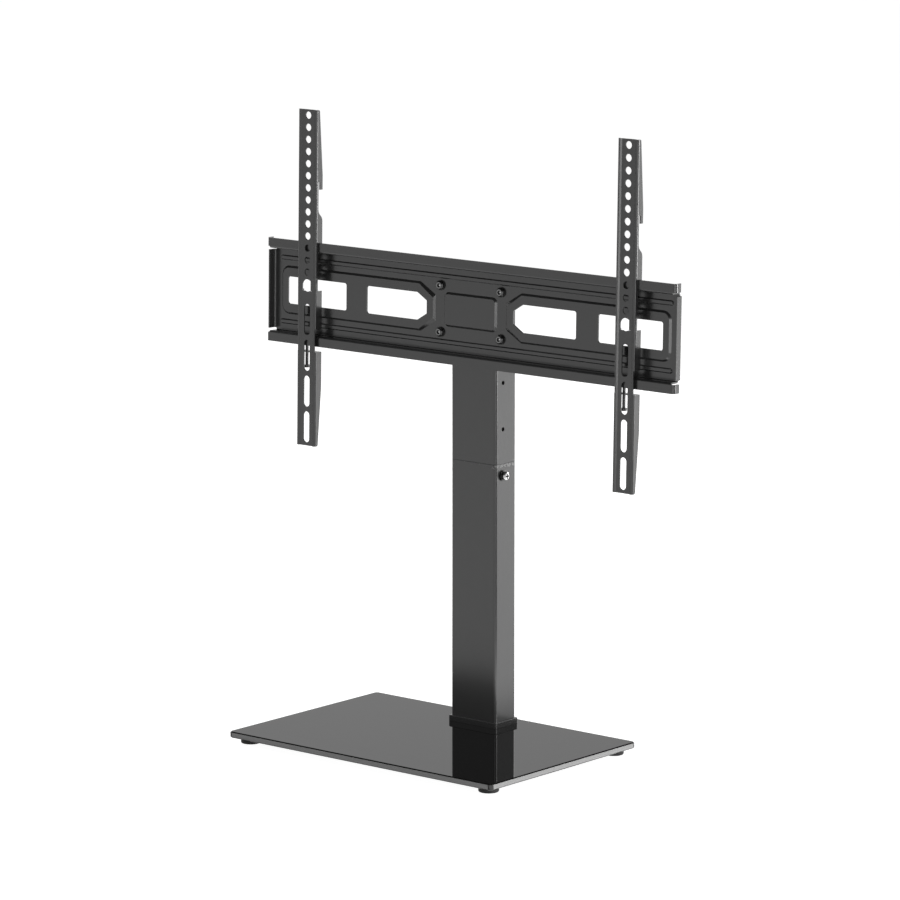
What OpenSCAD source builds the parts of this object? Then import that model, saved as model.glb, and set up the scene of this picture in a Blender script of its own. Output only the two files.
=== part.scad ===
// Table-top television stand: a glass base, a two-stage column set in height by a lock
// screw, and a rail plate that carries two hooked arms for the screen.
// Millimetres. X runs to the viewer's right, Y to the back, Z up. The origin is the
// middle of the glass's footprint, on the surface that the feet stand on.

/* [Base] */
// Width of the glass, side to side
base_w = 420; // [340:5:560]
// Depth of the glass, front to back
base_d = 280; // [240:5:380]
// Thickness of the glass
glass_t = 8; // [6:0.5:12]
// Corner radius of the glass, seen from above
glass_corner_r = 5; // [2:0.5:20]
// Height of the polished bevel along the glass's edges
glass_bevel = 0.8; // [0.4:0.1:2]
// Diameter of a foot
foot_d = 25; // [18:1:32]
// Height of a foot
foot_h = 7; // [6.5:0.5:12]
// Distance from the glass's edges to a foot's centre
foot_inset = 19.5; // [17:0.5:40]
// Distance from the glass's back edge to the column's centre
column_setback = 39.85; // [36:0.05:80]

/* [Column] */
// Width of the lower and the upper column
column_w = 71.5; // [68:0.1:90]
// Depth of the lower and the upper column
column_d = 39.8; // [36:0.1:60]
// Outer corner radius of the lower and the upper column
column_r = 3.8; // [3.5:0.1:7]
// Wall of the lower column
lower_wall = 1.2; // [1:0.1:1.6]
// Height of the lower column's rim above the glass
lower_rise = 331.9; // [280:0.1:400]
// Gap between the lower column and the inner column, on each side
slide_gap = 0.3; // [0.2:0.05:0.5]
// Gap between the two outer columns at the lowest setting
seam_gap = 0.3; // [0.3:0.05:1]
// Wall of the inner column
inner_wall = 1.5; // [1.2:0.1:1.9]
// Step from one height setting to the next
level_pitch = 57.8; // [50:0.1:60]
// Number of height settings above the lowest one
level_steps = 2; // [1:1:2]
// Number of holes on each side of the upper column
upper_holes = 2; // [1:1:2]
// Distance from the lower column's rim down to the lock screw
lock_drop = 14.6; // [10:0.1:20]
// Distance from the column's front face back to the hole row
hole_row = 14.2; // [11:0.1:20]
// Diameter of the holes in the upper and the inner column
level_hole_d = 5.4; // [4:0.1:6]
// Length of inner column below its lowest hole
tail_len = 60; // [50:1:100]
// Length of inner column above its highest hole
inner_reach = 32; // [20:1:60]
// Height of the collar round the column's foot
collar_h = 7.5; // [5:0.5:12]
// Wall of the collar
collar_wall = 2.25; // [1:0.05:3]
// Outer corner radius of the collar
collar_r = 2.6; // [1:0.1:6]

/* [Head bracket] */
// Height of the rail plate's centre above the lower column's rim
head_rise = 187.4; // [185:0.1:230]
// Backward lean of the rail plate and arms, in degrees
head_lean = 1.05; // [0:0.05:2]
// Distance from the column's front face to the plate's back, at the plate's centre
head_gap = 3.15; // [3.15:0.05:6]
// Width of the bracket's front plate
bracket_w = 114; // [110:1:118]
// Height of the bracket
bracket_h = 92; // [80:1:96]
// Thickness of the bracket's front plate
bracket_t = 2.2; // [1.5:0.1:2.2]
// Thickness of the bracket's cheeks
cheek_t = 3; // [2:0.5:3.5]
// Depth that the cheeks reach along the column's sides
cheek_reach = 26; // [16:1:34]
// Distance between the head bolts, side to side
bolt_span_x = 96; // [94:1:100]
// Distance between the head bolts, bottom to top
bolt_span_z = 58; // [56:1:64]

/* [Rail plate] */
// Length of the rail plate
plate_len = 647.6; // [580:0.2:700]
// Height over both rails
plate_h = 131.3; // [128:0.1:150]
// Sheet thickness of the plate
plate_t = 2; // [1.5:0.1:2.5]
// Depth from the plate's back to the front of its rails
plate_depth = 15.7; // [14:0.1:20]
// Height of a rail's lip with its bend
lip_h = 13.2; // [12:0.1:15]
// Outer radius of the bends along the plate's rails
plate_bend_r = 3; // [3:0.1:4]
// Outer radius of the bends at the plate's folded ends
end_bend_r = 4.6; // [3:0.1:5]
// Height of the windows
window_h = 34.5; // [26:0.5:38]
// Distance from the plate's end to the outer window
window_margin = 26.3; // [24:0.1:40]
// Width of the rib between two windows
window_rib = 33.7; // [24:0.1:50]
// Distance from the plate's middle to the inner window
window_start = 68.7; // [66:0.1:80]
// Corner radius of the windows
window_r = 3; // [1:0.5:4]
// Height of the raised side panels
panel_h = 61.6; // [56:0.2:66]
// Distance from the plate's end to a raised side panel
panel_margin = 14.8; // [12:0.1:18]
// Distance from the plate's middle to a raised side panel
panel_start = 56; // [55:0.5:60]
// How far the pressed panels stand out of the sheet
panel_rise = 2.2; // [1:0.1:2.4]
// Width of the raised middle panel
centre_w = 84; // [60:1:84]
// Height of the raised middle panel
centre_h = 43; // [30:1:44]
// Width of the two long pressed beads
bead_h = 6.4; // [4:0.2:8]
// Distance of the long beads from the plate's middle line
bead_offset = 40.6; // [39:0.1:43]
// How far the long beads stand out of the sheet
bead_rise = 1.6; // [0.8:0.1:2]

/* [Arms] */
// Distance from the plate's end to the middle of each arm
arm_inset = 71.2; // [64:0.1:260]
// Length of an arm
arm_len = 424.8; // [410:0.1:440]
// Width of an arm
arm_w = 31; // [29:0.5:34]
// Sheet thickness of an arm
arm_t = 1.5; // [1.2:0.1:2]
// Depth of the arm's side flanges behind its web
arm_depth = 10.2; // [10:0.1:11.5]
// Depth left of the side flanges where they pass the upper rail
arm_waist = 2.6; // [2.4:0.1:3]
// How far the two edge ridges stand in front of the web
ridge_rise = 1.5; // [0.6:0.1:2]
// Gap between an arm and the rails, front and back
rail_gap = 0.4; // [0.3:0.05:0.6]
// Gap between the hooks and the top edge of the rail
hook_seat = 0.3; // [0.3:0.05:0.6]
// Distance between the two hooks of an arm
hook_pitch = 76.2; // [74:0.1:80]
// Length of a hook's prong
prong_len = 9.8; // [7:0.1:10.5]
// Height of the top end of an arm above the plate's middle line
arm_top = 232.4; // [226:0.1:240]
// Diameter of the round screen holes
hole_d = 9.2; // [7:0.1:10]
// Distance between the round screen holes
hole_pitch = 15.17; // [14:0.01:15.2]
// Distance from an arm's top end to its first hole
hole_first = 7.4; // [6.6:0.1:11]
// Number of round screen holes
hole_count = 14; // [8:1:14]
// Width of the long slots
slot_w = 9.6; // [7:0.1:10]
// Length of the long slots
slot_len = 39.4; // [30:0.1:40]
// Distance between the long slots
slot_pitch = 45.5; // [44:0.1:46]
// Distance from an arm's bottom end to its lowest slot's centre
slot_first = 23.8; // [22:0.1:28]
// Number of long slots
slot_count = 4; // [2:1:4]

/* [Fasteners] */
// Diameter of the head bolts and the base bolts
bolt_d = 6; // [5:0.5:6]
// Diameter of the column's lock screws
lock_d = 5; // [4:0.5:5]
// Diameter of the arms' lock screws
arm_screw_d = 4; // [3:0.5:4]

/* [Hidden] */

// Roundness of circles and of the arcs in an outline
$fn = 48;
arc_steps = 8;
// Overrun of every cut
cut = 1;
// Gap round a thread, round a bolt in its hole and round the column in its collar
thread_gap = 0.05;
bolt_gap = 0.25;
collar_gap = 0.15;

// Glass, feet and what clamps the column to the glass
glass_bottom = foot_h;
glass_top = foot_h + glass_t;
column_y = base_d / 2 - column_setback;
foot_chamfer = 1.2;
gasket_t = 0.8;
clamp_t = 2;
clamp_w = 110;
clamp_d = 60;
clamp_r = 6;
column_foot_t = 5;
base_bolt_x = 24;
base_bolt_y = 10;
base_hole_d = bolt_d + 2;
base_head_d = 12;
base_head_h = 3;
base_recess_d = 4.2;
base_recess_depth = 1.8;
base_bolt_tip = 1.2;
clamp_bottom = glass_bottom - gasket_t - clamp_t;

// Columns
lower_bottom = glass_top + gasket_t;
lower_top = glass_top + lower_rise;
column_front = column_y - column_d / 2;
hole_y = column_front + hole_row;
lock_z = lower_top - lock_drop;
upper_wall = lower_wall + slide_gap;
upper_bottom = lower_top + seam_gap;
inner_w = column_w - 2 * upper_wall;
inner_d = column_d - 2 * upper_wall;
inner_r = column_r - upper_wall;
inner_bottom = lock_z - level_steps * level_pitch - tail_len;
inner_top = lock_z + upper_holes * level_pitch + inner_reach;
collar_chamfer = 0.6;
cap_t = 2;
cap_depth = 10;
cap_wall = 1.8;
cap_fit = 0.1;

// Lock screws of the column
lock_washer_d = 13.8;
lock_washer_root = 9.6;
lock_washer_t = 2.3;
lock_head_d = 10.4;
lock_head_h = 4.9;
lock_head_round = 0.8;
cross_w = 1.3;
cross_len = 5.6;
cross_depth = 1.8;

// Head frame: its origin is the middle of the plate's back face
head_y = column_front - head_gap;
head_z = lower_top + head_rise;
upper_top = head_z + bracket_h / 2;
bracket_r = 5;
cheek_share = 0.62;
head_washer_d = 13;
head_washer_t = 1.2;
head_bolt_head_d = 11.5;
head_bolt_head_h = 3.3;
head_bolt_round = 1.6;
head_socket = 5.8;
head_socket_depth = 2;
head_bolt_tip = 2;
nut_across = 10;
nut_h = 5;
nut_flange_d = 13.5;
nut_flange_t = 1.2;

// Rail plate, in the head frame
plate_half = plate_len / 2;
shelf_z = plate_h / 2 - lip_h;
tab_depth = 10.8;
tab_rise = 2.4;
shelf_trim = 5.2;
flange_depth = 12;
flange_relief = 2.4;
panel_slope = 2.6;
panel_corner_r = 12;
panel_chamfer_x = 24;
panel_chamfer_z = 14.5;
centre_corner_r = 7;
bead_slope = 1.4;
bead_margin = 12.3;
window_chamfer_x = 15.1;
window_chamfer_z = 9.2;
slice = 0.01;
window_end = plate_half - window_margin;
window_w = (window_end - window_start - window_rib) / 2;

// Arms, in an arm frame: its origin is on the web's front face, at the plate's middle line
arm_x = plate_half - arm_inset;
arm_front = -plate_depth - rail_gap - arm_waist;
arm_bottom = arm_top - arm_len;
arm_corner_r = 2.5;
ridge_w = 3.7;
ridge_slope = 1.9;
hook_slot_w = plate_t + 2 * rail_gap;
hook_top = plate_h / 2 + hook_seat;
top_depth = 4.3;
top_taper = 82.4;
bottom_depth = 4.6;
bottom_taper = 75;
flange_corner_r = 2.6;
neck_start = 42;
neck_len = 15.5;
neck_depth = arm_depth - arm_waist;
neck_r = (neck_depth * neck_depth + neck_len * neck_len) / (4 * neck_depth);
neck_turn = asin(neck_len / (2 * neck_r));
tab_top = 4.9;
tab_bottom = -43.3;
notch_bottom = -72.3;
notch_trim = 1.6;
keyhole_w = 15.6;
keyhole_x = -0.4;
keyhole_bottom = 4.1;
keyhole_top = 18.8;
keyhole_side = keyhole_top - keyhole_w / 2;
lug_margin = 1.5;
lug_r = 4.6;
lug_depth = 7;
lug_relief = 0.4;
lug_top = keyhole_top - lug_margin;
lock_tab_t = 1.5;
lock_tab_gap = 1;
lock_tab_margin = 0.6;
arm_screw_x = -6;
arm_screw_head_d = 8;
arm_screw_head_h = 3;
arm_screw_recess = 1.4;
arm_screw_reach = 1.9;
arm_screw_tail = 18.5;
arm_screw_y = arm_waist + rail_gap + plate_t + slide_gap + arm_screw_d / 2;

// Colours
coat = "#3b3b3d";
black_glass = "#151517";
black_rubber = "#1c1c1c";
black_plastic = "#1a1a1b";
black_steel = "#26262a";
bright_zinc = "#c9cbce";

function arc_points(cx, cy, r, from, to) = [
    for (i = [0 : arc_steps])
        let (a = from + (to - from) * i / arc_steps)
        [cx + r * cos(a), cy + r * sin(a)]
];

module rounded_rect(w, d, r) {
    square([w - 2 * r, d], center = true);
    square([w, d - 2 * r], center = true);
    for (sx = [-1, 1], sy = [-1, 1])
        translate([sx * (w / 2 - r), sy * (d / 2 - r)]) circle(r = r);
}

module rounded_block(w, d, h, r) {
    linear_extrude(height = h) rounded_rect(w, d, r);
}

module tube(w, d, h, r, wall) {
    difference() {
        rounded_block(w, d, h, r);
        translate([0, 0, -cut])
            rounded_block(w - 2 * wall, d - 2 * wall, h + 2 * cut, r - wall);
    }
}

// A slab with small steps along its top and bottom edges
module bevelled_block(w, d, h, r, bevel) {
    translate([0, 0, bevel]) rounded_block(w, d, h - 2 * bevel, r);
    rounded_block(w - 2 * bevel, d - 2 * bevel, h, r - bevel);
}

module at_base_bolts() {
    for (sx = [-1, 1], sy = [-1, 1])
        translate([sx * base_bolt_x, column_y + sy * base_bolt_y, 0]) children();
}

// Four round holes for the base bolts, from height z over height h
module base_bolt_holes(d, z, h) {
    at_base_bolts() translate([0, 0, z]) cylinder(d = d, h = h);
}

module glass_base() {
    color(black_glass) difference() {
        translate([0, 0, glass_bottom])
            bevelled_block(base_w, base_d, glass_t, glass_corner_r, glass_bevel);
        base_bolt_holes(base_hole_d, glass_bottom - cut, glass_t + 2 * cut);
    }
}

module foot(sx, sy) {
    x = sx * (base_w / 2 - foot_inset);
    y = sy * (base_d / 2 - foot_inset);
    color(black_rubber) translate([x, y, 0]) {
        cylinder(d1 = foot_d - 2 * foot_chamfer, d2 = foot_d, h = foot_chamfer);
        translate([0, 0, foot_chamfer]) cylinder(d = foot_d, h = foot_h - foot_chamfer);
    }
}

module foot_front_left() { foot(-1, -1); }
module foot_front_right() { foot(1, -1); }
module foot_rear_left() { foot(-1, 1); }
module foot_rear_right() { foot(1, 1); }

module upper_gasket() {
    color(black_rubber) difference() {
        translate([0, column_y, glass_top])
            rounded_block(column_w, column_d, gasket_t, column_r);
        base_bolt_holes(base_hole_d, glass_top - cut, gasket_t + 2 * cut);
    }
}

module lower_gasket() {
    color(black_rubber) difference() {
        translate([0, column_y, glass_bottom - gasket_t])
            rounded_block(clamp_w, clamp_d, gasket_t, clamp_r);
        base_bolt_holes(base_hole_d, glass_bottom - gasket_t - cut, gasket_t + 2 * cut);
    }
}

module clamp_plate() {
    color(coat) difference() {
        translate([0, column_y, clamp_bottom]) rounded_block(clamp_w, clamp_d, clamp_t, clamp_r);
        base_bolt_holes(bolt_d + 2 * bolt_gap, clamp_bottom - cut, clamp_t + 2 * cut);
    }
}

module base_bolts() {
    tip = lower_bottom + column_foot_t + base_bolt_tip;
    color(black_steel) at_base_bolts() difference() {
        union() {
            translate([0, 0, clamp_bottom - base_head_h]) cylinder(d = base_head_d, h = base_head_h);
            translate([0, 0, clamp_bottom]) cylinder(d = bolt_d, h = tip - clamp_bottom);
        }
        translate([0, 0, clamp_bottom - base_head_h - cut])
            cylinder(d = base_recess_d, h = base_recess_depth + cut, $fn = 6);
    }
}

module base_collar() {
    w = column_w + 2 * (collar_gap + collar_wall);
    d = column_d + 2 * (collar_gap + collar_wall);
    step = collar_chamfer / 2;
    color(black_plastic) translate([0, column_y, glass_top]) difference() {
        union() {
            rounded_block(w, d, collar_h - collar_chamfer, collar_r);
            rounded_block(w - 2 * step, d - 2 * step, collar_h, collar_r - step);
        }
        translate([0, 0, -cut])
            rounded_block(column_w + 2 * collar_gap, column_d + 2 * collar_gap, collar_h + 2 * cut,
                column_r + collar_gap);
    }
}

module column_foot() {
    color(coat) difference() {
        translate([0, column_y, lower_bottom])
            rounded_block(column_w - 2 * lower_wall, column_d - 2 * lower_wall, column_foot_t,
                column_r - lower_wall);
        base_bolt_holes(bolt_d + 2 * thread_gap, lower_bottom - cut, column_foot_t + 2 * cut);
    }
}

module lower_column() {
    color(coat) difference() {
        translate([0, column_y, lower_bottom])
            tube(column_w, column_d, lower_top - lower_bottom, column_r, lower_wall);
        side_holes(lock_d + 2 * bolt_gap, 0, 0);
    }
}

// Holes through both sides of the column, at the settings first to last from the lock screw
module side_holes(d, first, last) {
    for (i = [first : last])
        translate([-column_w / 2 - cut, hole_y, lock_z + i * level_pitch]) rotate([0, 90, 0])
            cylinder(d = d, h = column_w + 2 * cut);
}

// Places a fastener that points out of the column's side: side is 1 right, -1 left
module at_lock(side) {
    translate([side * column_w / 2, hole_y, lock_z]) rotate([0, side * 90, 0]) children();
}

// A domed head with its flat side at z = 0
module domed_head(d, h, round_h) {
    cylinder(d = d, h = h - round_h);
    translate([0, 0, h - round_h]) cylinder(d1 = d, d2 = d - 2 * round_h, h = round_h);
}

module lock_screw(side) {
    color(bright_zinc) at_lock(side) difference() {
        union() {
            translate([0, 0, -lower_wall]) cylinder(d = lock_d, h = lower_wall + lock_washer_t);
            translate([0, 0, lock_washer_t]) domed_head(lock_head_d, lock_head_h, lock_head_round);
        }
        for (turn = [0, 90])
            translate([0, 0, lock_washer_t + lock_head_h - cross_depth]) rotate([0, 0, turn])
                translate([-cross_len / 2, -cross_w / 2, 0])
                    cube([cross_len, cross_w, cross_depth + cut]);
    }
}

module lock_screw_right() { lock_screw(1); }
module lock_screw_left() { lock_screw(-1); }

module lock_washer(side) {
    color(black_plastic) at_lock(side) difference() {
        cylinder(d1 = lock_washer_root, d2 = lock_washer_d, h = lock_washer_t);
        translate([0, 0, -cut]) cylinder(d = lock_d + 2 * thread_gap, h = lock_washer_t + 2 * cut);
    }
}

module lock_washer_right() { lock_washer(1); }
module lock_washer_left() { lock_washer(-1); }

module inner_column() {
    color(coat) difference() {
        translate([0, column_y, inner_bottom])
            tube(inner_w, inner_d, inner_top - inner_bottom, inner_r, inner_wall);
        side_holes(level_hole_d, -level_steps, upper_holes);
    }
}

module upper_column() {
    color(coat) difference() {
        translate([0, column_y, upper_bottom])
            tube(column_w, column_d, upper_top - upper_bottom, column_r, upper_wall);
        side_holes(level_hole_d, 1, upper_holes);
    }
}

module column_cap() {
    plug_w = inner_w - 2 * cap_fit;
    plug_d = inner_d - 2 * cap_fit;
    color(black_plastic) translate([0, column_y, upper_top]) {
        rounded_block(column_w, column_d, cap_t, column_r);
        translate([0, 0, -cap_depth]) difference() {
            rounded_block(plug_w, plug_d, cap_depth, inner_r - cap_fit);
            translate([cap_wall - plug_w / 2, cap_wall - plug_d / 2, -cut])
                cube([plug_w - 2 * cap_wall, plug_d - 2 * cap_wall, cap_depth + cut]);
        }
    }
}

module in_head() {
    translate([0, head_y, head_z]) rotate([-head_lean, 0, 0]) children();
}

// Places a child at each head bolt, with the child's +Z pointing to the back
module at_head_bolts() {
    in_head() for (sx = [-1, 1], sz = [-1, 1])
        translate([sx * bolt_span_x / 2, 0, sz * bolt_span_z / 2]) rotate([-90, 0, 0]) children();
}

module cheek() {
    low = -bracket_h / 2;
    top = bracket_h / 2;
    front = bracket_t / 2 - head_gap;
    lean = top * tan(head_lean);
    rotate([90, 0, 90]) linear_extrude(height = cheek_t)
        polygon([[front - lean, low], [cheek_reach, low * cheek_share],
            [cheek_reach, top * cheek_share], [front + lean, top]]);
}

module head_bracket() {
    color(coat) difference() {
        union() {
            in_head() rotate([-90, 0, 0]) rounded_block(bracket_w, bracket_h, bracket_t, bracket_r);
            for (x = [column_w / 2, -column_w / 2 - cheek_t])
                translate([x, column_front, head_z]) cheek();
        }
        at_head_bolts() translate([0, 0, -cut])
            cylinder(d = bolt_d + 2 * bolt_gap, h = bracket_t + 2 * cut);
    }
}

module head_bolts() {
    seat = -plate_t - head_washer_t;
    tip = bracket_t + nut_h + head_bolt_tip;
    color(black_steel) at_head_bolts() difference() {
        union() {
            translate([0, 0, seat]) cylinder(d = bolt_d, h = tip - seat);
            translate([0, 0, seat]) rotate([180, 0, 0])
                domed_head(head_bolt_head_d, head_bolt_head_h, head_bolt_round);
        }
        translate([0, 0, seat - head_bolt_head_h - cut])
            cylinder(d = head_socket, h = head_socket_depth + cut, $fn = 6);
    }
}

module head_washers() {
    color(black_steel) at_head_bolts() translate([0, 0, -plate_t - head_washer_t]) difference() {
        cylinder(d = head_washer_d, h = head_washer_t);
        translate([0, 0, -cut]) cylinder(d = bolt_d + 2 * thread_gap, h = head_washer_t + 2 * cut);
    }
}

module head_nuts() {
    color(black_steel) at_head_bolts() translate([0, 0, bracket_t]) difference() {
        union() {
            cylinder(d = nut_flange_d, h = nut_flange_t);
            cylinder(d = nut_across / cos(30), h = nut_h, $fn = 6);
        }
        translate([0, 0, -cut]) cylinder(d = bolt_d + 2 * thread_gap, h = nut_h + 2 * cut);
    }
}

// Upper half of the plate's bent section, as [y, z]: web, shelf and upright lip
module half_section() {
    r = plate_bend_r;
    bend_in = r - plate_t;
    polygon(concat(
        [[0, 0]],
        arc_points(-r, shelf_z + plate_t - r, r, 0, 90),
        arc_points(-plate_depth + r, shelf_z + r, bend_in, 270, 180),
        [[-plate_depth + plate_t, plate_h / 2], [-plate_depth, plate_h / 2]],
        arc_points(-plate_depth + r, shelf_z + r, r, 180, 270),
        arc_points(-r, shelf_z + plate_t - r, bend_in, 90, 0),
        [[-plate_t, 0]]
    ));
}

// Extrudes a [y, z] outline along X over a length, centred
module along_x(length) {
    translate([-length / 2, 0, 0]) rotate([90, 0, 90]) linear_extrude(height = length) children();
}

// Plan view of a corner that bends from y = front back over a depth, at the right end
module corner_plan(depth) {
    r = end_bend_r;
    polygon(concat(
        arc_points(plate_half - r, r, r, 270, 360),
        [[plate_half, depth], [plate_half - plate_t, depth]],
        arc_points(plate_half - r, r, r - plate_t, 360, 270)
    ));
}

// Folded ends at the right: a tab behind each lip, and a flange in front of the web
module right_end() {
    tab_low = shelf_z + tab_rise;
    flange_half = shelf_z - flange_relief;
    for (side = [0, 1])
        mirror([0, 0, side]) translate([0, -plate_depth, tab_low])
            linear_extrude(height = plate_h / 2 - tab_low) corner_plan(tab_depth);
    translate([0, 0, -flange_half]) linear_extrude(height = 2 * flange_half)
        mirror([0, 1]) corner_plan(flange_depth);
}

module bent_sheet() {
    reach = plate_len - 2 * end_bend_r;
    shelf_front = plate_depth - plate_bend_r;
    difference() {
        for (side = [0, 1])
            mirror([0, 0, side]) along_x(reach) half_section();
        for (sx = [0, 1], sz = [0, 1])
            mirror([sx, 0, 0]) mirror([0, 0, sz])
                translate([plate_half - shelf_trim, -shelf_front, shelf_z - cut])
                    cube([shelf_trim + cut, shelf_front + cut, tab_rise + cut]);
    }
    for (side = [0, 1])
        mirror([side, 0, 0]) right_end();
}

// Outline of a raised side panel at the right, as [x, z], drawn in by inset on all sides
module panel_outline(inset) {
    right = plate_half - panel_margin - inset;
    left = panel_start + inset;
    top = panel_h / 2 - inset;
    r = panel_corner_r - inset;
    slant = panel_chamfer_z + inset / 2;
    polygon(concat(
        [[left, -top + slant], [left + panel_chamfer_x - inset / 2, -top]],
        arc_points(right - r, -top + r, r, 270, 360),
        arc_points(right - r, top - r, r, 0, 90),
        [[left + panel_chamfer_x - inset / 2, top], [left, top - slant]]
    ));
}

// A pressed form with sloped sides: children 0 and 1 are its outlines at the sheet and at its face
module pressed(rise) {
    hull() {
        translate([0, -plate_t + slice, 0]) rotate([90, 0, 0])
            linear_extrude(height = slice) children(0);
        translate([0, -plate_t - rise + slice, 0]) rotate([90, 0, 0])
            linear_extrude(height = slice) children(1);
    }
}

// The hollow that a pressed form leaves in the back of the sheet
module pressed_hollow(rise) {
    translate([0, cut, 0]) rotate([90, 0, 0]) linear_extrude(height = rise + cut) children();
}

module at_beads() {
    for (side = [-1, 1])
        translate([0, 0, side * bead_offset]) children();
}

module bead_outline(inset) {
    rounded_rect(plate_len - 2 * (bead_margin + inset), bead_h - 2 * inset, bead_h / 2 - inset - slice);
}

module centre_outline(inset) {
    rounded_rect(centre_w - 2 * inset, centre_h - 2 * inset, centre_corner_r - inset);
}

// Windows at the right: an oblong one outside, and one with two cut corners inside
module right_windows() {
    h = window_h / 2;
    outer = window_end - window_w / 2;
    inner_end = window_start + window_w;
    translate([outer, 0]) rounded_rect(window_w, window_h, window_r);
    polygon(concat(
        [[window_start, -h + window_chamfer_z], [window_start + window_chamfer_x, -h]],
        arc_points(inner_end - window_r, -h + window_r, window_r, 270, 360),
        arc_points(inner_end - window_r, h - window_r, window_r, 0, 90),
        [[window_start + window_chamfer_x, h], [window_start, h - window_chamfer_z]]
    ));
}

module rail_plate() {
    color(coat) in_head() difference() {
        union() {
            bent_sheet();
            for (side = [0, 1])
                mirror([side, 0, 0]) pressed(panel_rise) {
                    panel_outline(0);
                    panel_outline(panel_slope);
                }
            pressed(panel_rise) {
                centre_outline(0);
                centre_outline(panel_slope);
            }
            at_beads() pressed(bead_rise) {
                bead_outline(0);
                bead_outline(bead_slope);
            }
        }
        for (side = [0, 1])
            mirror([side, 0, 0]) {
                pressed_hollow(panel_rise) panel_outline(panel_slope);
                pressed_hollow(plate_t + panel_rise + cut) right_windows();
            }
        pressed_hollow(panel_rise) centre_outline(panel_slope);
        at_beads() pressed_hollow(bead_rise) bead_outline(bead_slope);
        for (sx = [-1, 1], sz = [-1, 1])
            translate([sx * bolt_span_x / 2, cut, sz * bolt_span_z / 2]) rotate([90, 0, 0])
                cylinder(d = bolt_d + 2 * bolt_gap, h = plate_t + 2 * cut);
    }
}

// Half of an arm's section at the right, as [x, y]: web, ridge, bend and flange
module arm_half_section() {
    half = arm_w / 2;
    r = arm_corner_r;
    inner = r - arm_t;
    web = half - ridge_w - ridge_slope;
    polygon(concat(
        [[0, 0], [web, 0], [web + ridge_slope, -ridge_rise]],
        arc_points(half - r, -ridge_rise + r, r, 270, 360),
        [[half, arm_depth], [half - arm_t, arm_depth]],
        arc_points(half - r, -ridge_rise + r, inner, 360, 270),
        [[web + ridge_slope, -ridge_rise + arm_t], [web, arm_t], [0, arm_t]]
    ));
}

// Side view of what is cut off the flanges, as [y, z]
module flange_cuts() {
    deep = arm_depth + cut;
    r = flange_corner_r;
    slot_back = arm_waist + hook_slot_w;
    upper_hook = hook_top + hook_pitch;
    neck_low = hook_top + neck_start - neck_len;
    neck_high = hook_top + neck_start;
    polygon(concat(
        [[top_depth - r, arm_top + cut]],
        arc_points(top_depth - r, arm_top - r, r, 90, 0),
        [[arm_depth, arm_top - top_taper], [deep, arm_top - top_taper], [deep, arm_top + cut]]
    ));
    polygon(concat(
        [[bottom_depth - r, arm_bottom - cut]],
        arc_points(bottom_depth - r, arm_bottom + r, r, 270, 360),
        [[arm_depth, arm_bottom + bottom_taper], [deep, arm_bottom + bottom_taper],
            [deep, arm_bottom - cut]]
    ));
    polygon(concat(
        [[arm_waist, upper_hook], [slot_back, upper_hook], [slot_back, upper_hook - prong_len],
            [deep, upper_hook - prong_len], [deep, neck_low]],
        arc_points(arm_depth - neck_r, neck_low, neck_r, 0, neck_turn),
        arc_points(arm_waist + neck_r, neck_high, neck_r, 180 + neck_turn, 180)
    ));
    polygon([[arm_waist, hook_top], [slot_back, hook_top], [slot_back, hook_top - prong_len],
        [deep, hook_top - prong_len], [deep, tab_top], [arm_waist, tab_top]]);
}

module arm_cuts() {
    along_x(arm_w + 2 * cut) flange_cuts();
    // The lower rail's notch takes the flanges off whole, with a little of the ridges
    for (side = [0, 1])
        mirror([side, 0, 0])
            translate([arm_w / 2 - notch_trim - arm_t, -ridge_rise + arm_t, notch_bottom])
                cube([notch_trim + arm_t + cut, arm_depth + ridge_rise + cut, tab_bottom - notch_bottom]);
    for (side = [0, 1])
        mirror([side, 0, 0]) translate([arm_w / 2 - notch_trim, -ridge_rise - cut, notch_bottom])
            cube([notch_trim + cut, ridge_rise + arm_depth + 2 * cut, tab_bottom - notch_bottom]);
    for (i = [0 : hole_count - 1])
        translate([0, -cut, arm_top - hole_first - i * hole_pitch]) rotate([-90, 0, 0])
            cylinder(d = hole_d, h = arm_t + 2 * cut);
    for (i = [0 : slot_count - 1])
        translate([0, arm_t + cut, arm_bottom + slot_first + i * slot_pitch]) rotate([90, 0, 0])
            linear_extrude(height = arm_t + 2 * cut)
                rounded_rect(slot_w, slot_len, slot_w / 2 - slice);
    // The window under the last round hole: a flat sill, an arched top and a lug on its right
    translate([keyhole_x, arm_t + cut, 0]) rotate([90, 0, 0]) linear_extrude(height = arm_t + 2 * cut) {
        translate([0, keyhole_side]) circle(d = keyhole_w);
        translate([-keyhole_w / 2, keyhole_bottom]) square([keyhole_w, keyhole_side - keyhole_bottom]);
        translate([0, keyhole_bottom]) square([keyhole_w / 2, lug_top - keyhole_bottom]);
    }
}

// The lug at the arched window's right edge, bent backward out of the web
module window_lug() {
    bend_x = keyhole_x + keyhole_w / 2;
    lug_x = bend_x - lug_r;
    low = keyhole_bottom + lug_relief;
    translate([0, 0, low]) linear_extrude(height = lug_top - lug_relief - low)
        polygon(concat(
            [[bend_x + cut, 0]],
            arc_points(bend_x, lug_r, lug_r, 270, 180),
            [[lug_x, lug_depth], [lug_x + arm_t, lug_depth]],
            arc_points(bend_x, lug_r, lug_r - arm_t, 180, 270),
            [[bend_x + cut, arm_t]]
        ));
}

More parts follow.
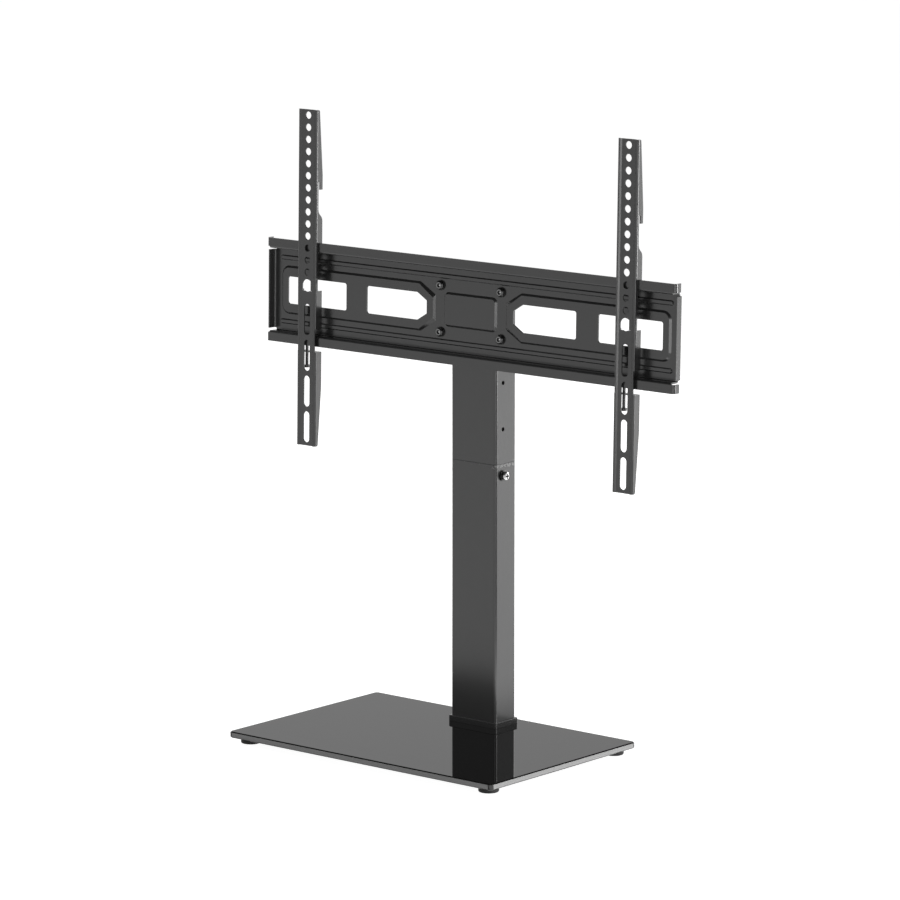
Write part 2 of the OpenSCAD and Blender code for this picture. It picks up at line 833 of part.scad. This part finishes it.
// The tab that reaches across an arm from its right flange; the arm's screw is threaded through it
module lock_tab() {
    left = -arm_w / 2 + arm_t + lock_tab_margin;
    front = arm_t + lock_tab_gap;
    difference() {
        translate([left, front, notch_bottom - lock_tab_t])
            cube([arm_w / 2 - left - arm_t / 2, arm_depth - front, lock_tab_t]);
        translate([arm_screw_x, arm_screw_y, notch_bottom - lock_tab_t - cut])
            cylinder(d = arm_screw_d + 2 * thread_gap, h = lock_tab_t + 2 * cut);
    }
}

// Places a child in the frame of the arm on one side: 1 right, -1 left
module in_arm(side) {
    in_head() translate([side * arm_x, arm_front, 0]) children();
}

module arm(side) {
    color(coat) in_arm(side) {
        difference() {
            translate([0, 0, arm_bottom]) linear_extrude(height = arm_len) {
                arm_half_section();
                mirror([1, 0]) arm_half_section();
            }
            arm_cuts();
        }
        window_lug();
        lock_tab();
    }
}

module left_arm() { arm(-1); }
module right_arm() { arm(1); }

module arm_screw(side) {
    head_top = notch_bottom - arm_screw_tail;
    tip = -shelf_z - plate_t - arm_screw_reach;
    color(black_steel) in_arm(side) translate([arm_screw_x, arm_screw_y, 0]) difference() {
        union() {
            translate([0, 0, head_top]) cylinder(d = arm_screw_d, h = tip - head_top);
            translate([0, 0, head_top - arm_screw_head_h])
                cylinder(d = arm_screw_head_d, h = arm_screw_head_h);
        }
        for (turn = [0, 90])
            translate([0, 0, head_top - arm_screw_head_h - cut]) rotate([0, 0, turn])
                translate([-arm_screw_head_d / 4, -cross_w / 2, 0])
                    cube([arm_screw_head_d / 2, cross_w, arm_screw_recess + cut]);
    }
}

module left_arm_screw() { arm_screw(-1); }
module right_arm_screw() { arm_screw(1); }

glass_base();
foot_front_left();
foot_front_right();
foot_rear_left();
foot_rear_right();
upper_gasket();
lower_gasket();
clamp_plate();
base_bolts();
base_collar();
column_foot();
lower_column();
lock_screw_right();
lock_screw_left();
lock_washer_right();
lock_washer_left();
inner_column();
upper_column();
column_cap();
head_bracket();
head_bolts();
head_washers();
head_nuts();
rail_plate();
left_arm();
right_arm();
left_arm_screw();
right_arm_screw();
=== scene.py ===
"""Looks of the table-top television stand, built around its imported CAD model. Metres."""

from math import cos, radians, sin

import bmesh
import bpy
import numpy as np
from mathutils import Matrix, Vector


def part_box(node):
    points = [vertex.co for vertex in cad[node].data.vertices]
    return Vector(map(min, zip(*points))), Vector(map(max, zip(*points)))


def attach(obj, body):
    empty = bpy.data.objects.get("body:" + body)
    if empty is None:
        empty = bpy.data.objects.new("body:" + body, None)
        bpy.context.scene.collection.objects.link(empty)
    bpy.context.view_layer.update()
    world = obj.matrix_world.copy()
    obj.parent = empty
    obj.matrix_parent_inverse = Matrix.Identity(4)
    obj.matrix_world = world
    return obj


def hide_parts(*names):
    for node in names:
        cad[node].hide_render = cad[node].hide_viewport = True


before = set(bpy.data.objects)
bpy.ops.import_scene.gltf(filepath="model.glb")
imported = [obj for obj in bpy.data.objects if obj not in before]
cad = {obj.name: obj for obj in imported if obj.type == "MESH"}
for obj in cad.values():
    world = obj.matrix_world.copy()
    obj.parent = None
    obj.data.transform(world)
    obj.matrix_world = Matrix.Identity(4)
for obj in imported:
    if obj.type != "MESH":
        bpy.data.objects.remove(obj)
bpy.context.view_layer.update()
scene = bpy.context.scene
MM = 0.001


# Shader values

class Value:
    """An output in a material's nodes. Arithmetic on it adds Math nodes."""

    def __init__(self, tree, socket):
        self.tree = tree
        self.socket = socket

    def math(self, operation, a, b):
        return add_node(self.tree, "Math", {"operation": operation}, {0: a, 1: b})

    def __add__(self, other):
        return self.math("ADD", self, other)

    def __sub__(self, other):
        return self.math("SUBTRACT", self, other)

    def __rsub__(self, other):
        return self.math("SUBTRACT", other, self)

    def __mul__(self, other):
        return self.math("MULTIPLY", self, other)

    def __gt__(self, other):
        return self.math("GREATER_THAN", self, other)

    def __lt__(self, other):
        return self.math("LESS_THAN", self, other)

    __radd__ = __add__
    __rmul__ = __mul__

    def size(self):
        return self.math("ABSOLUTE", self, 0)

    def root(self):
        return self.math("SQRT", self, 0)

    def rise(self, low, high):
        """0 below low, 1 above high and a smooth step between them."""
        return add_node(
            self.tree,
            "MapRange",
            {"interpolation_type": "SMOOTHSTEP"},
            {"Value": self, "From Min": low, "From Max": high},
        )


def add_node(tree, kind, settings=None, sockets=None, out=0):
    """Adds a shader node, sets its settings, then fills its sockets with numbers or links."""
    node = tree.nodes.new("ShaderNode" + kind)
    for name, setting in (settings or {}).items():
        setattr(node, name, setting)
    for name, value in (sockets or {}).items():
        if isinstance(value, Value):
            tree.links.new(value.socket, node.inputs[name])
        else:
            node.inputs[name].default_value = value
    return Value(tree, node.outputs[out])


def grey(level):
    return (level, level, level, 1)


def new_material(name, color, make):
    """A material whose surface is what make(tree) returns. color is its plain stand-in."""
    material = bpy.data.materials.new(name)
    material.use_nodes = True
    material.diffuse_color = color
    tree = material.node_tree
    tree.nodes.clear()
    output = tree.nodes.new("ShaderNodeOutputMaterial")
    tree.links.new(make(tree).socket, output.inputs["Surface"])
    return material


def object_place(tree):
    return add_node(tree, "TexCoord", out="Object")


def axis_of(tree, place, axis):
    return add_node(tree, "SeparateXYZ", None, {0: place}, out=axis)


def noise(tree, place, scale, detail=2, roughness=0.5):
    sockets = {"Vector": place, "Scale": scale, "Detail": detail, "Roughness": roughness}
    return add_node(tree, "TexNoise", None, sockets)


def blend_colors(tree, factor, a, b):
    sockets = {"Factor": factor, 6: a, 7: b}
    return add_node(tree, "Mix", {"data_type": "RGBA"}, sockets, out=2)


def bumped(tree, height, depth):
    """A normal that follows height, 0 to 1, as a relief of the given depth in metres."""
    return add_node(tree, "Bump", None, {"Height": height, "Distance": depth, "Strength": 1.0})


# Materials: grey levels, shares from 0 to 1, and pattern scales in cells per metre

COAT = 0.042
COAT_SHINE = 0.64
COAT_RELIEF = 0.05 * MM
PEEL_SCALE = 420
GRAIN_SCALE = 1500
CLOUD_SCALE = 28
FLAKE_SCALE = 340
CHIP_LEVEL = 0.94
CHIP_GREY = 0.2
# Painted shade: the dark of the seam just below the lower column's rim
SEAM_SHADE_GREY = 0.008
MIRROR_SHARE = 0.60
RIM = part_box("lower_column")[1].z
BOLT_SPAN_X = 96 * MM


def coated_steel(tree, color, roughness, normal):
    sockets = {
        "Base Color": color,
        "Roughness": roughness,
        "Normal": normal,
        "Specular IOR Level": COAT_SHINE,
    }
    return add_node(tree, "BsdfPrincipled", None, sockets)


def coat_pattern(tree, place):
    """The coat's shade, relief and roughness: a shallow orange peel under a finer grain."""
    peel = noise(tree, place, PEEL_SCALE, 2)
    grain = noise(tree, place, GRAIN_SCALE, 3)
    cloud = noise(tree, place, CLOUD_SCALE, 2)
    shade = blend_colors(tree, cloud, grey(COAT * 0.92), grey(COAT * 1.1))
    return shade, peel * 0.6 + grain * 0.4, grain * 0.08 + 0.18


def powder_coat(tree):
    """Fine-grained black powder coat."""
    shade, relief, roughness = coat_pattern(tree, object_place(tree))
    return coated_steel(tree, shade, roughness, bumped(tree, relief, COAT_RELIEF))


def worn_coat_with_painted_light(tree):
    """Powder coat with chips along the rim of the lower column, most of them on its right side.

    A chip shows where a flaky noise, helped by the nearness of the rim and of the right
    side, passes a level. The chips are bare steel, and their crowding on the lit right side
    is a painted highlight. The last fraction of a millimetre below the rim is painted shade:
    the dark seam.
    """
    place = object_place(tree)
    x, z = axis_of(tree, place, "X"), axis_of(tree, place, "Z")
    shade, relief, roughness = coat_pattern(tree, place)
    flake = noise(tree, place, FLAKE_SCALE, 3, 0.7)
    near_rim = z.rise(RIM - 6.0 * MM, RIM - 3.2 * MM)
    # Painted highlight: chips crowd on the right side, where the light falls
    lit_right_side = x.rise(22 * MM, 36 * MM)
    # Painted shade: the seam just below the rim is darkened
    seam = z.rise(RIM - 0.35 * MM, RIM - 0.15 * MM)
    chip = ((near_rim * 0.28 + lit_right_side * 0.19 + flake) > CHIP_LEVEL) * (1 - seam)
    shade = blend_colors(tree, seam, shade, grey(SEAM_SHADE_GREY))
    color = blend_colors(tree, chip, shade, grey(CHIP_GREY))
    normal = bumped(tree, relief - chip * 2.0, COAT_RELIEF)
    return coated_steel(tree, color, roughness + seam * 0.3, normal)


def black_glass(tree):
    """Black tempered glass: a clear mirror-like face over a black body."""
    smear = noise(tree, object_place(tree), 9, 2)
    clear = {"Base Color": grey(0.001), "Roughness": smear * 0.02 + 0.015, "IOR": 1.5}
    face = add_node(tree, "BsdfPrincipled", None, clear)
    depth = {"Base Color": grey(0.0015), "Roughness": 0.6, "Specular IOR Level": 0.0}
    body = add_node(tree, "BsdfPrincipled", None, depth)
    return add_node(tree, "MixShader", None, {0: MIRROR_SHARE, 1: body, 2: face})


def ground_edge(tree):
    """The glass's satin ground edge, paler than its face, with faint lines along it."""
    place = object_place(tree)
    stretched = add_node(tree, "Mapping", None, {"Vector": place, "Scale": (30, 30, 1400)})
    lines = noise(tree, stretched, 1, 2)
    sockets = {
        "Base Color": blend_colors(tree, lines, grey(0.11), grey(0.20)),
        "IOR": 1.8,
        "Roughness": lines * 0.12 + 0.20,
        "Normal": bumped(tree, lines, 0.03 * MM),
    }
    return add_node(tree, "BsdfPrincipled", None, sockets)


def soft_black(level, roughness, scale, depth, shine=0.4):
    """Moulded or rubber black with a fine even texture."""

    def make(tree):
        skin = noise(tree, object_place(tree), scale, 3)
        sockets = {
            "Base Color": blend_colors(tree, skin, grey(level * 0.85), grey(level * 1.15)),
            "Roughness": skin * 0.12 + roughness,
            "Normal": bumped(tree, skin, depth),
            "Specular IOR Level": shine,
        }
        return add_node(tree, "BsdfPrincipled", None, sockets)

    return make


def oxide_steel(tree, place, wear_and_highlight):
    """Black oxide on turned steel with thin turning marks. Where wear_and_highlight is 1, bare
    metal shows.
    """
    marks = noise(tree, place, 900, 4)
    black = blend_colors(tree, marks, grey(0.035), grey(0.07))
    sockets = {
        "Base Color": blend_colors(tree, wear_and_highlight, black, grey(0.55)),
        "Metallic": 0.9,
        "Roughness": marks * 0.16 + 0.22,
        "Normal": bumped(tree, marks, 0.02 * MM),
    }
    return add_node(tree, "BsdfPrincipled", None, sockets)


def blackened_steel(tree):
    """Black oxide with a few slightly worn patches."""
    place = object_place(tree)
    return oxide_steel(tree, place, noise(tree, place, 160, 2).rise(0.66, 0.74) * 0.3)


def painted_highlight_steel(tree):
    """The head bolts' oxide with painted highlights: bright round the socket's rim and in the
    socket's middle.

    The four bolts sit at the corners of a rectangle, so the distance from the nearest
    bolt's line follows from the sizes of x and z alone.
    """
    place = object_place(tree)
    low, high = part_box("head_washers")
    washer = (high.x - low.x - BOLT_SPAN_X) / 2
    centre_z = (low.z + high.z) / 2
    row_z = (high.z - low.z) / 2 - washer
    x = axis_of(tree, place, "X").size() - BOLT_SPAN_X / 2
    z = (axis_of(tree, place, "Z") - centre_z).size() - row_z
    away = (x * x + z * z).root()
    # Painted highlights: a bright ring round the socket's rim and a bright dot in its middle
    rim = away.rise(2.3 * MM, 2.6 * MM) - away.rise(3.6 * MM, 4.0 * MM)
    middle = 1 - away.rise(0.7 * MM, 1.1 * MM)
    return oxide_steel(tree, place, rim * 0.25 + middle)


def bright_zinc(tree):
    """Zinc plate: bright metal with a slight cloudiness, with painted shade in the right screw's
    recess.
    """
    place = object_place(tree)
    cloud = noise(tree, place, 500, 3)
    plate = blend_colors(tree, cloud, grey(0.42), grey(0.60))
    low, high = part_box("lock_screw_right")
    x = axis_of(tree, place, "X").size()
    y = axis_of(tree, place, "Y") - (low.y + high.y) / 2
    z = axis_of(tree, place, "Z") - (low.z + high.z) / 2
    # Painted shade: the right screw's cross recess is coloured near black
    recess_shade = (high.x - 0.55 * MM > x) * ((3.4 * MM) ** 2 > y * y + z * z)
    color = blend_colors(tree, recess_shade, plate, grey(0.02))
    sockets = {"Base Color": color, "Metallic": 1.0, "Roughness": cloud * 0.14 + 0.18}
    return add_node(tree, "BsdfPrincipled", None, sockets)


coat = new_material("powder_coat", grey(COAT), powder_coat)
# The worn coat carries a painted highlight and a painted shade at the column's rim
rim_coat = new_material("powder_coat_worn_painted_light", grey(COAT), worn_coat_with_painted_light)
glass = new_material("black_glass", grey(0.01), black_glass)
glass_edge = new_material("black_glass_ground_edge", grey(0.12), ground_edge)
rubber = new_material("black_rubber", grey(0.02), soft_black(0.022, 0.62, 700, 0.05 * MM))
plastic = new_material("black_plastic", grey(0.02), soft_black(0.014, 0.15, 900, 0.02 * MM, 0.75))
steel = new_material("black_steel", grey(0.03), blackened_steel)
# Head bolts with painted highlights on their sockets
bolt_steel = new_material("black_steel_painted_highlights", grey(0.03), painted_highlight_steel)
zinc = new_material("bright_zinc", grey(0.75), bright_zinc)


# Meshes

def new_piece(name, verts, faces, material, body, node):
    """A smooth-shaded mesh that stands for a CAD node and rides on its body."""
    mesh = bpy.data.meshes.new(name)
    mesh.from_pydata(verts.tolist(), [], faces)
    mesh.validate()
    mesh.polygons.foreach_set("use_smooth", np.ones(len(mesh.polygons), bool))
    piece = bpy.data.objects.new(name, mesh)
    scene.collection.objects.link(piece)
    mesh.materials.append(material)
    settle(piece, body, [node])
    return piece


def settle(piece, body, stands_for):
    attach(piece, body)
    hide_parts(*stands_for)


def ring_faces(rows, cols):
    """Quads between rows of closed rings of cols points, with a cap on the first and last ring."""
    row, col = np.meshgrid(np.arange(rows - 1), np.arange(cols), indexing="ij")
    nxt = (col + 1) % cols
    quads = np.stack(
        [row * cols + col, row * cols + nxt, (row + 1) * cols + nxt, (row + 1) * cols + col], -1
    )
    faces = quads.reshape(-1, 4).tolist()
    faces.append(np.arange(cols)[::-1].tolist())
    faces.append((np.arange(cols) + (rows - 1) * cols).tolist())
    return faces


def rounded_loop(width, depth, radius, steps):
    """Points round a rectangle with quarter-circle corners, as x and y, anticlockwise.

    Corner k turns from k to k + 1 quarter turns about a centre that lies the radius
    inside both of its sides.
    """
    corner = np.repeat(np.arange(4), steps)
    turn = (corner + np.tile(np.linspace(0, 1, steps), 4)) * np.pi / 2
    side_x = np.array([1, -1, -1, 1])[corner]
    side_y = np.array([1, 1, -1, -1])[corner]
    return np.stack(
        [
            side_x * (width / 2 - radius) + radius * np.cos(turn),
            side_y * (depth / 2 - radius) + radius * np.sin(turn),
        ],
        -1,
    )


def softened(node, body, material, edge, angle=30):
    """A CAD node's own shape with its edges rounded.

    Its triangles are merged and the flat ones joined, then a Bevel rounds every edge
    sharper than the angle and Weighted Normal keeps the flat faces flat.
    """
    mesh = cad[node].data.copy()
    mesh.name = node + "_soft"
    bm = bmesh.new()
    bm.from_mesh(mesh)
    bmesh.ops.remove_doubles(bm, verts=bm.verts, dist=0.01 * MM)
    bmesh.ops.dissolve_limit(bm, angle_limit=radians(0.5), verts=bm.verts, edges=bm.edges)
    bm.to_mesh(mesh)
    bm.free()
    mesh.polygons.foreach_set("use_smooth", np.ones(len(mesh.polygons), bool))
    mesh.materials.clear()
    mesh.materials.append(material)
    piece = bpy.data.objects.new(node + "_soft", mesh)
    scene.collection.objects.link(piece)
    rounding = piece.modifiers.new("rounded_edges", "BEVEL")
    rounding.width = edge
    rounding.segments = 2
    rounding.limit_method = "ANGLE"
    rounding.angle_limit = radians(angle)
    rounding.use_clamp_overlap = True
    piece.modifiers.new("flat_faces", "WEIGHTED_NORMAL").weight = 100
    settle(piece, body, [node])


def glass_slab():
    """The glass: a rounded rectangle carried up an edge profile with a polished bevel.

    The profile's two bevels each have three rings. The flat band between them is ground,
    except round the corners.
    """
    low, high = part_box("glass_base")
    width, depth = high.x - low.x, high.y - low.y
    radius = 5 * MM
    bevel = 1.3 * MM
    knee = 0.45 * bevel
    inset = [bevel, knee, 0.0, 0.0, knee, bevel]
    level = [low.z, low.z + knee, low.z + bevel, high.z - bevel, high.z - knee, high.z]
    steps = 12
    rings = []
    for gap, z in zip(inset, level):
        loop = rounded_loop(width - 2 * gap, depth - 2 * gap, radius - gap, steps)
        rings.append(np.column_stack([loop, np.full(len(loop), z)]))
    cols = 4 * steps
    faces = ring_faces(len(rings), cols)
    piece = new_piece(
        "glass_slab", np.concatenate(rings), faces, glass, "stand", "glass_base"
    )
    piece.data.materials.append(glass_edge)
    edge_row = np.arange(len(faces)) // cols == 2
    straight = np.arange(len(faces)) % steps == steps - 1
    piece.data.polygons.foreach_set("material_index", (edge_row & straight).astype(np.int32))
    piece.modifiers.new("flat_faces", "WEIGHTED_NORMAL").weight = 100


def turned(name, profile, place, material, node, steps=48, relief=None):
    """A profile of (radius, height) pairs in millimetres turned round a line, on the stand.

    place is a 4x4 matrix that puts the turned form, whose axis is +Z, in the row frame.
    relief(x, y, z) gives how far the points sink, for a recess in the top.
    """
    radius, height = np.array(profile).T * MM
    angle = np.arange(steps) * 2 * np.pi / steps
    x = radius[:, None] * np.cos(angle)
    y = radius[:, None] * np.sin(angle)
    z = np.repeat(height[:, None], steps, 1)
    if relief:
        z = z - relief(x, y, z)
    points = np.stack([x, y, z, np.ones_like(x)], -1).reshape(-1, 4) @ np.array(place).T
    new_piece(name, points[:, :3], ring_faces(len(radius), steps), material, "stand", node)


def foot(node):
    """A rubber foot: a low drum with a rounded lower edge and a slight waist under the glass."""
    low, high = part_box(node)
    r = (high.x - low.x) / 2 / MM
    h = (high.z - low.z) / MM
    axle, lip, waist = 0.3, 1.6, 0.5
    turn = np.linspace(0, np.pi / 2, 6)
    edge = [(r - lip + lip * np.sin(t), lip - lip * np.cos(t)) for t in turn]
    neck = [(r, h - 1.2), (r - waist, h - 0.6), (r - waist, h)]
    profile = [(axle, 0)] + edge + neck + [(axle, h)]
    centre = Matrix.Translation(((low.x + high.x) / 2, (low.y + high.y) / 2, low.z))
    turned(node + "_drum", profile, centre, rubber, node)


def cross_relief(x, y, z):
    """How deep a cross recess is at each point: two crossing grooves with sloped walls.

    A point lies in a groove when the smaller of its two distances from the axes is below
    the half width and the larger one is below the reach. Only the top of the head sinks.
    """
    half_width, side_slope = 0.95, 0.35
    reach, end_slope = 3.3, 0.5
    depth, skin = 1.7 * MM, 1.5 * MM
    aside = np.minimum(np.abs(x), np.abs(y)) / MM
    along = np.maximum(np.abs(x), np.abs(y)) / MM
    in_width = np.clip((half_width - aside) / side_slope, 0, 1)
    in_reach = np.clip((reach - along) / end_slope, 0, 1)
    return in_width * in_reach * depth * (z > z.max() - skin)


def lock_screw(side, name):
    """A bright pan-head screw on the column's side with a crossed recess.

    The crown is a quarter of an ellipse, and a nearly flat top with many rings follows it,
    so that the recess has points to sink.
    """
    low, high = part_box("lock_screw_" + name)
    washer_low, washer_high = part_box("lock_washer_" + name)
    seat = washer_high.x if side > 0 else -washer_low.x
    head_top = (max(abs(high.x), abs(low.x)) - seat) / MM
    r = (high.y - low.y) / 2 / MM
    y, z = (low.y + high.y) / 2, (low.z + high.z) / 2
    dome, dish = 1.7, 0.02
    rise = np.linspace(0, 1, 12)
    crown = [(r * np.sqrt(1 - (0.995 * t) ** 2), head_top - dome + dome * t) for t in rise]
    inner = [(r * s, head_top - dish + dish * (1 - s)) for s in np.linspace(0.62, 0.02, 22)]
    rim = [(2.0, -4.0), (2.4, 0.0), (r, 0.0), (r, head_top - 2.2)]
    profile = rim + [point for point in crown if point[0] > 0.64 * r] + inner
    place = Matrix.Translation((side * seat, y, z)) @ Matrix.Rotation(radians(side * 90), 4, "Y")
    turned(
        "lock_screw_head_" + name, profile, place, zinc, "lock_screw_" + name,
        steps=64, relief=cross_relief,
    )


# Pieces

glass_slab()
for corner in ("front_left", "front_right", "rear_left", "rear_right"):
    foot("foot_" + corner)
lock_screw(1, "right")
lock_screw(-1, "left")
softened("lower_column", "stand", rim_coat, 0.15 * MM)
softened("base_collar", "stand", plastic, 0.7 * MM)
softened("lock_washer_right", "stand", plastic, 0.3 * MM)
softened("lock_washer_left", "stand", plastic, 0.3 * MM)
softened("upper_column", "head", coat, 0.3 * MM)
softened("column_cap", "head", plastic, 0.6 * MM)
softened("head_bracket", "head", coat, 0.5 * MM)
softened("head_washers", "head", steel, 0.2 * MM)
softened("head_bolts", "head", bolt_steel, 0.15 * MM)
softened("head_nuts", "head", steel, 0.25 * MM)
softened("rail_plate", "head", coat, 0.5 * MM, 22)
softened("left_arm", "left_arm", coat, 0.35 * MM, 25)
softened("right_arm", "right_arm", coat, 0.35 * MM, 25)

finish_of = {
    "upper_gasket": rubber,
    "lower_gasket": rubber,
    "clamp_plate": coat,
    "base_bolts": steel,
    "column_foot": coat,
    "inner_column": coat,
    "left_arm_screw": steel,
    "right_arm_screw": steel,
}
for node, material in finish_of.items():
    cad[node].data.materials.clear()
    cad[node].data.materials.append(material)


# Floor and surroundings: turns in degrees to the right from the front, lengths in metres

FLOOR_REACH = 40
FLOOR_GREY = 0.45
FLOOR_GLOW = 0.97
# Painted shade: near this point, left of and behind the stand, reflections of the floor turn dark
SHADE_MIDDLE = (-0.32, 0.34, 0)
SHADE_INNER, SHADE_OUTER = 0.36, 0.56
# Painted shade: a dark sector to the right of the stand, seen only in reflections
FLAG_SHADE_TURN = 92
FLAG_SHADE_WIDTH = 0.34
# Painted reflection: a bright sheet to the right of and behind the stand, seen only in reflections
PAINTED_SHEET_TURN = 153
PAINTED_SHEET_WIDTH = 0.5
PAINTED_SHEET_GLOW = 0.8
# Painted reflection: a bright card beside the glass's right edge, seen only in reflections
PAINTED_CARD_GLOW = 2.0
AMBIENT = 0.09
CEILING = 0.05
BAND_TOP = 0.36
BAND_FADE = 0.12


def ray_kinds(tree):
    """1 on camera rays, on glossy rays and on rays through glass, in this order."""
    kinds = ("Is Camera Ray", "Is Glossy Ray", "Is Transmission Ray")
    return [add_node(tree, "LightPath", out=kind) for kind in kinds]


def sector(tree, way, turn, width, soft):
    """1 in a sector that opens from the stand at a turn to the right from the front, 0 beside it.

    A point is in it when its distance from the sector's middle line is below the width
    times its distance along that line.
    """
    turn = radians(turn)
    x, y = axis_of(tree, way, "X"), axis_of(tree, way, "Y")
    along = x * sin(turn) - y * cos(turn)
    across = (x * cos(turn) + y * sin(turn)).size()
    return (along * width - across).rise(0.0, soft)


def flag_shade(tree, way):
    """1 in a sector to the right of the stand where reflections see painted shade, as from a dark
    flag.
    """
    return sector(tree, way, FLAG_SHADE_TURN, FLAG_SHADE_WIDTH, 0.05)


def painted_edge_card(tree, place):
    """1 on the floor close to the glass's right edge, where reflections see a painted bright card.
    """
    x, y = axis_of(tree, place, "X"), axis_of(tree, place, "Y")
    return x.rise(0.21, 0.22) * (1 - x.rise(0.40, 0.50)) * (1 - y.size().rise(0.24, 0.32))


def floor_white(tree):
    """White to the camera. Reflections see painted shade, a painted dark flag sector, and a
    painted bright sheet and card.
    """
    is_camera, is_glossy, is_through = ray_kinds(tree)
    place = object_place(tree)
    from_shade = add_node(
        tree, "VectorMath", {"operation": "SUBTRACT"}, {0: place, 1: SHADE_MIDDLE}
    )
    away = add_node(tree, "VectorMath", {"operation": "LENGTH"}, {0: from_shade}, out="Value")
    lit = add_node(tree, "BsdfDiffuse", None, {"Color": grey(FLOOR_GREY)})
    # Painted reflections: the sheet and the card glow brighter only in reflections
    sheet_reflection = is_glossy * sector(tree, place, PAINTED_SHEET_TURN, PAINTED_SHEET_WIDTH, 0.15)
    card_reflection = painted_edge_card(tree, place)
    strength = sheet_reflection * PAINTED_SHEET_GLOW + is_glossy * card_reflection * PAINTED_CARD_GLOW + FLOOR_GLOW
    glow = add_node(tree, "Emission", None, {"Color": grey(1), "Strength": strength})
    shown = add_node(tree, "AddShader", None, {0: lit, 1: glow})
    painted_flag_shade = flag_shade(tree, place) * (1 - card_reflection)
    # Painted shade: reflections near the shade's middle and in the flag's sector see the plain lit
    # floor
    mirrored = is_glossy * away.rise(SHADE_INNER, SHADE_OUTER) * (1 - painted_flag_shade)
    seen = is_camera + is_through + mirrored
    return add_node(tree, "MixShader", None, {0: seen, 1: lit, 2: shown})


def white_room(world):
    """White to the camera. Reflections see white near the horizon, a dim ceiling above it and
    painted shade in the flag's sector.

    The plain ambient light on the object is weak.
    """
    world.use_nodes = True
    tree = world.node_tree
    tree.nodes.clear()
    is_camera, is_glossy, is_through = ray_kinds(tree)
    way = add_node(tree, "TexCoord", out="Generated")
    height = axis_of(tree, way, "Z")
    band = 1 - height.rise(BAND_TOP - BAND_FADE, BAND_TOP + BAND_FADE) * (1 - CEILING)
    # Painted shade: the flag's sector is dark in reflections
    band = band * (1 - flag_shade(tree, way))
    shown = is_camera + is_through + is_glossy * band
    strength = shown + (1 - is_camera - is_through - is_glossy) * AMBIENT
    glow = add_node(tree, "Background", None, {"Color": grey(1), "Strength": strength})
    output = tree.nodes.new("ShaderNodeOutputWorld")
    tree.links.new(glow.socket, output.inputs["Surface"])


floor_mesh = bpy.data.meshes.new("floor")
floor_corners = [(sx * FLOOR_REACH, sy * FLOOR_REACH, 0) for sx, sy in
                 ((-1, -1), (1, -1), (1, 1), (-1, 1))]
floor_mesh.from_pydata(floor_corners, [], [(0, 1, 2, 3)])
floor_mesh.materials.append(new_material("floor_white", grey(1), floor_white))
floor = bpy.data.objects.new("floor", floor_mesh)
scene.collection.objects.link(floor)
scene.world = bpy.data.worlds.new("white_room")
white_room(scene.world)


# Lamps: each looks at the middle of the stand from the same distance

LAMP_MIDDLE = Vector((0, 0.1, 0.45))
LAMP_REACH = 3.0


def soft_lamp(name, turn, rise, watts, width=1.3, height=1.3):
    """A rectangular softbox at a turn to the right from the front and a rise above the horizon."""
    turn, rise = radians(turn), radians(rise)
    way = Vector((sin(turn) * cos(rise), -cos(turn) * cos(rise), sin(rise)))
    lamp = bpy.data.lights.new(name, "AREA")
    lamp.shape = "RECTANGLE"
    lamp.size = width
    lamp.size_y = height
    lamp.energy = watts
    box = bpy.data.objects.new(name, lamp)
    box.location = LAMP_MIDDLE + way * LAMP_REACH
    box.rotation_euler = (-way).to_track_quat("-Z", "Y").to_euler()
    scene.collection.objects.link(box)


soft_lamp("left_softbox", -95, 24, 36)
soft_lamp("right_softbox", 116, 0, 50, height=0.8)
soft_lamp("back_softbox", 178, 14, 62, width=2.2)
soft_lamp("front_strip", 46, 2, 9, width=0.7, height=1.0)
soft_lamp("top_softbox", 0, 85, 10)


# Camera, as solved from the photograph

CAMERA_PLACE = (3.6957, -4.3829, 1.4068)
CAMERA_RIGHT = Vector((0.76705, 0.64158, 0.0))
CAMERA_UP = Vector((-0.1138, 0.1361, 0.9841))
FOCAL_MM = 191.28
SENSOR_MM = 36

lens = bpy.data.cameras.new("camera")
lens.lens = FOCAL_MM
lens.sensor_width = SENSOR_MM
lens.clip_end = 120
camera = bpy.data.objects.new("camera", lens)
camera_axes = Matrix((CAMERA_RIGHT, CAMERA_UP, CAMERA_RIGHT.cross(CAMERA_UP))).transposed()
camera.matrix_world = Matrix.Translation(CAMERA_PLACE) @ camera_axes.to_4x4()
scene.collection.objects.link(camera)
scene.camera = camera
scene.view_settings.view_transform = "Standard"
